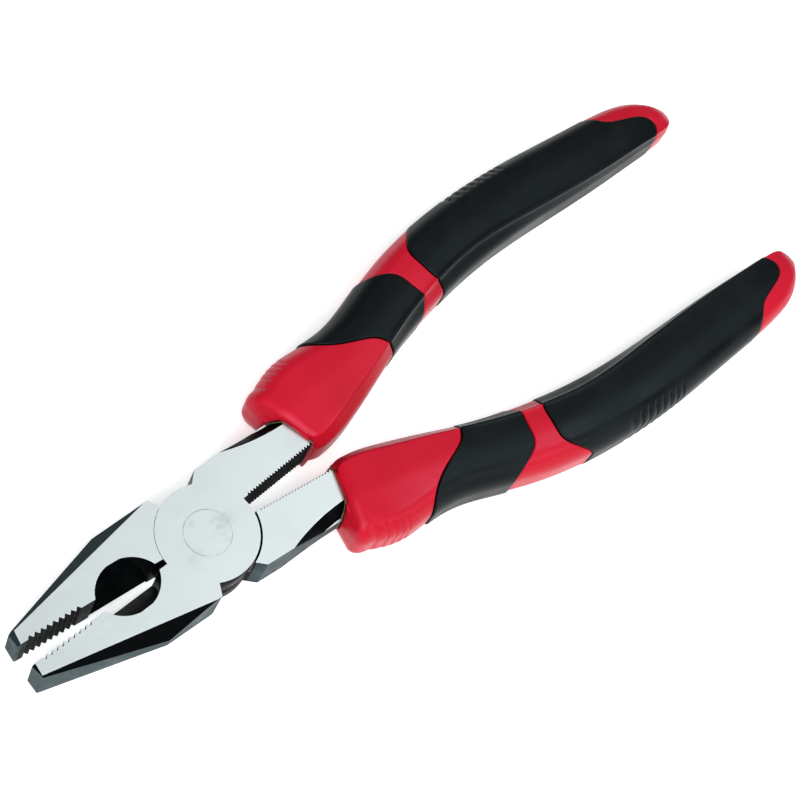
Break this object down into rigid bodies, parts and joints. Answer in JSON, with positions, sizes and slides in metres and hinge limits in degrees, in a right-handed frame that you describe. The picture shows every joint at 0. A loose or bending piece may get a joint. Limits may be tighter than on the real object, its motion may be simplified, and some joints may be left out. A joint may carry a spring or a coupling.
{
  "type": "lineman pliers",
  "caption": "Combination pliers with a riveted lap joint, serrated jaws, a bevelled cutter pocket and curved handles with red and black moulded grips.",
  "frame": {"origin": "on the pivot axis, at the flat ground underside of the joint", "axes": "+X along the tool from the pivot towards the handles, +Z along the pivot axis, out of the upper ground face; +Y towards the front half's handle"},
  "size_m": [0.2102, 0.0706, 0.0168],
  "materials": {
    "steel": "satin ground faces, dark unground edges",
    "rivet_steel": "satin, ground flush",
    "red_plastic": "semi-gloss",
    "black_rubber": "soft satin",
    "adhesive": "dried glue"
  },
  "bodies": {
    "front_lever": {"front_forged_half": "steel", "front_red_sleeve": "red_plastic", "front_fore_pad": "black_rubber", "front_rear_pad": "black_rubber", "front_glue_bead": "adhesive", "joint_rivet": "rivet_steel"},
    "rear_lever": {"rear_forged_half": "steel", "rear_red_sleeve": "red_plastic", "rear_fore_pad": "black_rubber", "rear_rear_pad": "black_rubber", "rear_glue_bead": "adhesive"}
  },
  "joints": [
    {"name": "pivot", "type": "hinge", "parent": "front_lever", "child": "rear_lever", "pos_m": [0, 0, 0.0056], "axis": [0, 0, -1], "range_deg": [-5.7, 42]}
  ]
}
